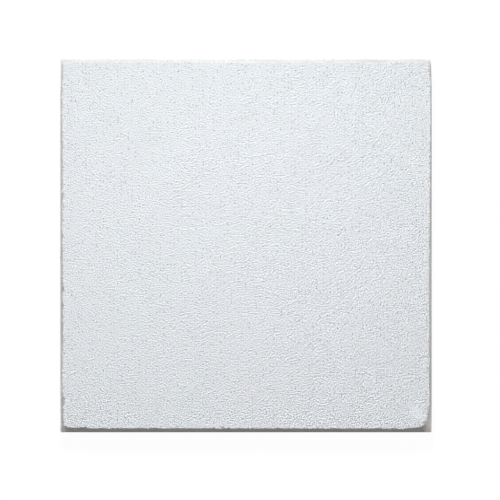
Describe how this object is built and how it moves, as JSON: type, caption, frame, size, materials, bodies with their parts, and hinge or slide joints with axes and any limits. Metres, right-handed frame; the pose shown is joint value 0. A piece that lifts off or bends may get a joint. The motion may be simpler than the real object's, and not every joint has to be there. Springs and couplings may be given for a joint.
{
  "type": "relief wall tile",
  "caption": "Square press-moulded wall tile with a fine pebbled white face, coved and drafted edges, one worn corner and a keyed back for bedding in mortar.",
  "frame": {"origin": "middle of the back's outline, on the plane that the ribs of the back rest on", "axes": "+Z out of the face, +Y up the wall as the picture shows the tile, +X to the right"},
  "size_m": [0.15, 0.1508, 0.01],
  "materials": {
    "white_ceramic": "matt white finish over a fine pebbled relief on the face, bare greyish buff body on the edges and back"
  },
  "bodies": {
    "root": {"tile": "white_ceramic"}
  },
  "joints": []
}
